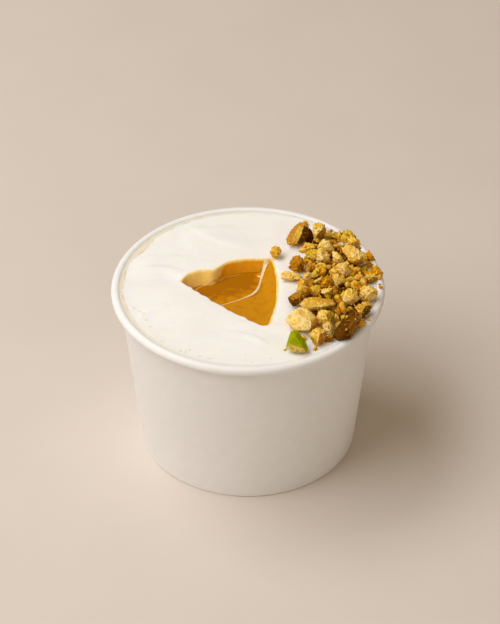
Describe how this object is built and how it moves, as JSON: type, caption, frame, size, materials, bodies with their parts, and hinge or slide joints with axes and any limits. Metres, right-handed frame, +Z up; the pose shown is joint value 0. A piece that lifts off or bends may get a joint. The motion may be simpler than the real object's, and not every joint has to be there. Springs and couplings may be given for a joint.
{
  "type": "cup of affogato",
  "caption": "Plain white paper ice-cream tub filled level with vanilla ice cream, with a scooped hollow holding a pool of amber coffee and a heap of chopped roasted pistachios on one side.",
  "frame": {"origin": "centre of the foot's ring, on the surface the cup stands on, on the cup's axis", "axes": "+Z up along the cup's axis, -Y towards the viewer of the picture, +X towards the pistachios"},
  "size_m": [0.09, 0.09, 0.0678],
  "materials": {
    "cup_paper": "uncoated-looking white paperboard with a thin moisture-proof lining, satin",
    "ice_cream": "smooth cream-white dairy ice cream levelled with a spatula, moist satin, icy pits at the edge",
    "coffee": "clear amber coffee, wet gloss, with a strand of melted cream",
    "pistachio": "roasted chopped pistachio, dry, pale and golden cut faces with brown skin",
    "pistachio_green": "green pistachio flesh with a tan edge, dry"
  },
  "bodies": {
    "root": {"cup_wall": "cup_paper", "cup_base": "cup_paper", "ice_cream": "ice_cream", "coffee_pool": "coffee", "pistachio_heap": "pistachio", "pistachio_pale_front": "pistachio", "pistachio_green_wedge": "pistachio_green", "pistachio_front_end": "pistachio", "pistachio_dark_sliver": "pistachio", "pistachio_left_flake": "pistachio", "pistachio_brown_crumbly": "pistachio", "pistachio_leaning_half": "pistachio", "pistachio_back_olive": "pistachio", "pistachio_lone_crumb": "pistachio", "pistachio_dark_half": "pistachio", "pistachio_olive_round": "pistachio", "pistachio_orange_outer": "pistachio", "pistachio_green_tip": "pistachio", "pistachio_long_slab": "pistachio", "pistachio_round_tan": "pistachio", "pistachio_broad_back": "pistachio"}
  },
  "joints": []
}
